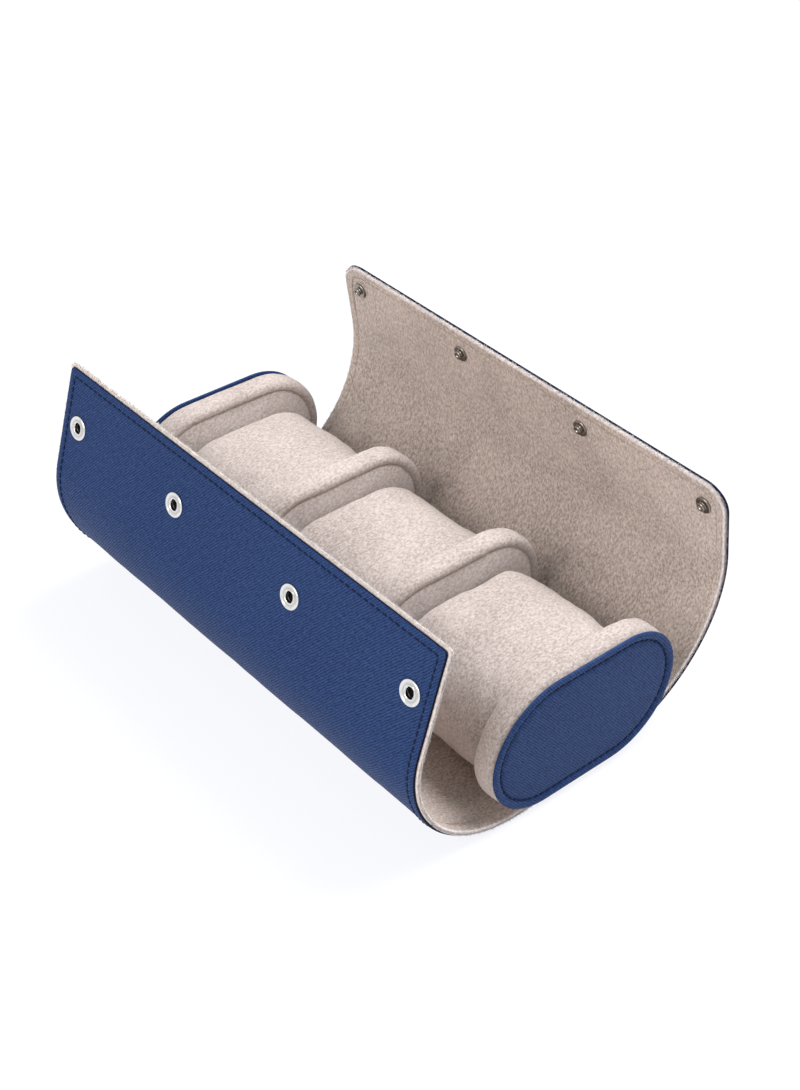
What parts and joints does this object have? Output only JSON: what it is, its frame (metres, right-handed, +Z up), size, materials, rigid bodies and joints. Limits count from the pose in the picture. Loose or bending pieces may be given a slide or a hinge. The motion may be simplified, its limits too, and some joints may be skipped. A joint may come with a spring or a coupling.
{
  "type": "watch travel case",
  "caption": "Travel roll case for watches: a leather wrap with a suede lining folds round padded ends, dividers and loose cushions and shuts with press studs.",
  "frame": {"origin": "middle of the underside of the wrap, on the surface that the case stands on", "axes": "+X along the roll, to the right with the front flap facing you; -Y towards the front flap, the one with the bright socket rings outside; +Z up"},
  "size_m": [0.2374, 0.1689, 0.1108],
  "materials": {
    "navy_leather": "satin, fine cross-hatched grain",
    "suede": "matt napped microsuede",
    "stiff_board": "matt",
    "foam": "matt",
    "bright_nickel": "polished",
    "dark_nickel": "burnished"
  },
  "bodies": {
    "base": {"base_leather": "navy_leather", "base_board": "stiff_board", "base_lining": "suede", "cap_left_band": "suede", "cap_left_panel": "suede", "cap_left_foam": "foam", "cap_left_board": "stiff_board", "cap_left_face": "navy_leather", "divider_left_band": "suede", "divider_left_panels": "suede", "divider_left_foam": "foam", "divider_left_board": "stiff_board", "cap_right_band": "suede", "cap_right_panel": "suede", "cap_right_foam": "foam", "cap_right_board": "stiff_board", "cap_right_face": "navy_leather", "divider_right_band": "suede", "divider_right_panels": "suede", "divider_right_foam": "foam", "divider_right_board": "stiff_board"},
    "front_flap_lower": {"front_leather_1": "navy_leather", "front_board_1": "stiff_board", "front_lining_1": "suede"},
    "front_flap_middle": {"front_leather_2": "navy_leather", "front_board_2": "stiff_board", "front_lining_2": "suede"},
    "front_flap_upper": {"front_leather_3": "navy_leather", "front_board_3": "stiff_board", "front_lining_3": "suede", "snap_sockets": "bright_nickel", "snap_socket_posts": "dark_nickel"},
    "rear_flap_lower": {"rear_leather_1": "navy_leather", "rear_board_1": "stiff_board", "rear_lining_1": "suede"},
    "rear_flap_middle": {"rear_leather_2": "navy_leather", "rear_board_2": "stiff_board", "rear_lining_2": "suede"},
    "rear_flap_upper": {"rear_leather_3": "navy_leather", "rear_board_3": "stiff_board", "rear_lining_3": "suede", "snap_studs": "dark_nickel", "snap_stud_caps": "bright_nickel"},
    "cushion_left": {"cushion_left_cover": "suede", "cushion_left_ends": "suede", "cushion_left_filling": "foam"},
    "cushion_middle": {"cushion_middle_cover": "suede", "cushion_middle_ends": "suede", "cushion_middle_filling": "foam"},
    "cushion_right": {"cushion_right_cover": "suede", "cushion_right_ends": "suede", "cushion_right_filling": "foam"}
  },
  "joints": [
    {"name": "front_flap_lower_fold", "type": "hinge", "parent": "base", "child": "front_flap_lower", "pos_m": [0, -0.03581, 0.00166], "axis": [1, 0, 0], "range_deg": [-37, 7]},
    {"name": "front_flap_middle_fold", "type": "hinge", "parent": "front_flap_lower", "child": "front_flap_middle", "pos_m": [0, -0.06638, 0.01356], "axis": [1, 0, 0], "range_deg": [-15, 2.84]},
    {"name": "front_flap_upper_fold", "type": "hinge", "parent": "front_flap_middle", "child": "front_flap_upper", "pos_m": [0, -0.0862, 0.04387], "axis": [1, 0, 0], "range_deg": [-23.5, 4.45]},
    {"name": "rear_flap_lower_fold", "type": "hinge", "parent": "base", "child": "rear_flap_lower", "pos_m": [0, 0.04692, 0.01205], "axis": [-1, 0, 0], "range_deg": [-36.5, 9]},
    {"name": "rear_flap_middle_fold", "type": "hinge", "parent": "rear_flap_lower", "child": "rear_flap_middle", "pos_m": [0, 0.07296, 0.04026], "axis": [-1, 0, 0], "range_deg": [-20, 4.94]},
    {"name": "rear_flap_upper_fold", "type": "hinge", "parent": "rear_flap_middle", "child": "rear_flap_upper", "pos_m": [0, 0.07677, 0.07848], "axis": [-1, 0, 0], "range_deg": [-21.5, 5.31]},
    {"name": "cushion_left_lift", "type": "slide", "parent": "base", "child": "cushion_left", "axis": [0, 0, 1], "range_m": [0, 0.09]},
    {"name": "cushion_middle_lift", "type": "slide", "parent": "base", "child": "cushion_middle", "axis": [0, 0, 1], "range_m": [0, 0.09]},
    {"name": "cushion_right_lift", "type": "slide", "parent": "base", "child": "cushion_right", "axis": [0, 0, 1], "range_m": [0, 0.09]}
  ],
  "couplings": [
    {"joint": "front_flap_middle_fold", "follows": "front_flap_lower_fold", "ratio": 0.4054},
    {"joint": "front_flap_upper_fold", "follows": "front_flap_lower_fold", "ratio": 0.6351},
    {"joint": "rear_flap_middle_fold", "follows": "rear_flap_lower_fold", "ratio": 0.5479},
    {"joint": "rear_flap_upper_fold", "follows": "rear_flap_lower_fold", "ratio": 0.589}
  ]
}
